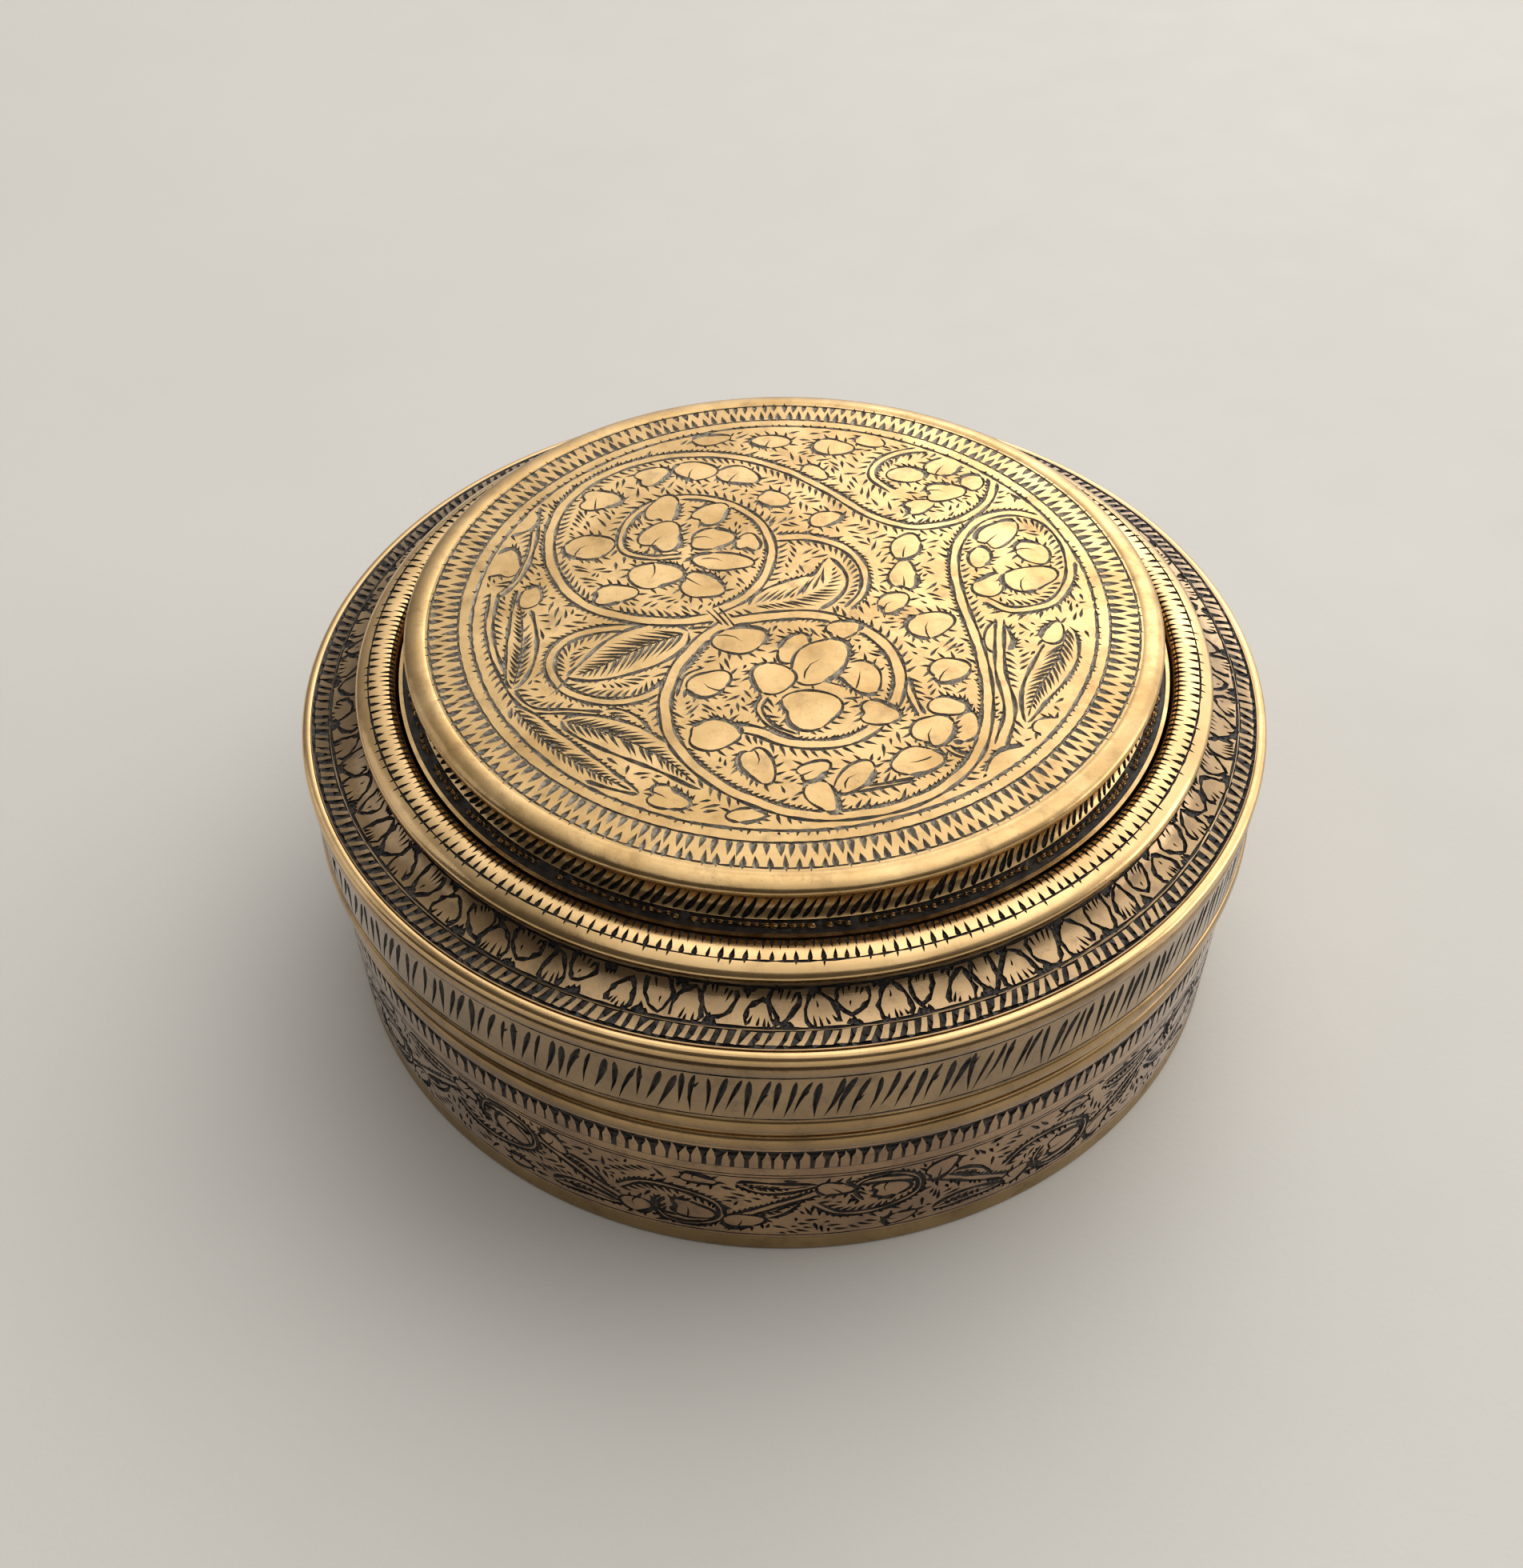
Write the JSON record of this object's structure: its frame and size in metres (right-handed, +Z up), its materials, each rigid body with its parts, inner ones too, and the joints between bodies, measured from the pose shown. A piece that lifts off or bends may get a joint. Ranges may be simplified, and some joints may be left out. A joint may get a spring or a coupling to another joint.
{
  "type": "spice box",
  "caption": "Round engraved brass spice box with a stepped lift-off lid, an inner collar, loose cups and a small spoon.",
  "frame": {"origin": "centre of the flat underside of the base plate", "axes": "+Z up along the axis of the box; +X towards the first outer cup; -Y is the front side that the reference view looks at"},
  "size_m": [0.14, 0.14, 0.059],
  "materials": {
    "engraved_brass": "hand-engraved brass, dark patina in the cuts, worn bright on the raised lands",
    "polished_brass": "plain rounded bands, worn bright with fine scratches",
    "dark_brass": "aged brass, brown patina, little polish",
    "cup_brass": "turned brass, fine turning lines, satin"
  },
  "bodies": {
    "base": {"base_plate": "dark_brass", "body_wall": "engraved_brass", "body_rim": "polished_brass", "inner_collar": "dark_brass"},
    "lid": {"lid_edge_band": "polished_brass", "lid_skirt": "engraved_brass", "lid_rim": "polished_brass", "lid_shoulder": "engraved_brass", "lid_moulding": "engraved_brass", "lid_neck": "engraved_brass", "lid_top_disc": "engraved_brass"},
    "cup_centre": {"cup_centre": "cup_brass"},
    "cup_1": {"cup_1": "cup_brass"},
    "cup_2": {"cup_2": "cup_brass"},
    "cup_3": {"cup_3": "cup_brass"},
    "cup_4": {"cup_4": "cup_brass"},
    "cup_5": {"cup_5": "cup_brass"},
    "cup_6": {"cup_6": "cup_brass"},
    "spoon": {"spoon": "polished_brass"}
  },
  "joints": [
    {"name": "lid_lift", "type": "slide", "parent": "base", "child": "lid", "axis": [0, 0, 1], "range_m": [0, 0.1]},
    {"name": "cup_centre_lift", "type": "slide", "parent": "base", "child": "cup_centre", "axis": [0, 0, 1], "range_m": [0, 0.01]},
    {"name": "spoon_lift", "type": "slide", "parent": "cup_centre", "child": "spoon", "axis": [0, 0, 1], "range_m": [0, 0.0085]},
    {"name": "cup_1_lift", "type": "slide", "parent": "base", "child": "cup_1", "axis": [0, 0, 1], "range_m": [0, 0.016]},
    {"name": "cup_2_lift", "type": "slide", "parent": "base", "child": "cup_2", "axis": [0, 0, 1], "range_m": [0, 0.016]},
    {"name": "cup_3_lift", "type": "slide", "parent": "base", "child": "cup_3", "axis": [0, 0, 1], "range_m": [0, 0.016]},
    {"name": "cup_4_lift", "type": "slide", "parent": "base", "child": "cup_4", "axis": [0, 0, 1], "range_m": [0, 0.016]},
    {"name": "cup_5_lift", "type": "slide", "parent": "base", "child": "cup_5", "axis": [0, 0, 1], "range_m": [0, 0.016]},
    {"name": "cup_6_lift", "type": "slide", "parent": "base", "child": "cup_6", "axis": [0, 0, 1], "range_m": [0, 0.016]}
  ]
}
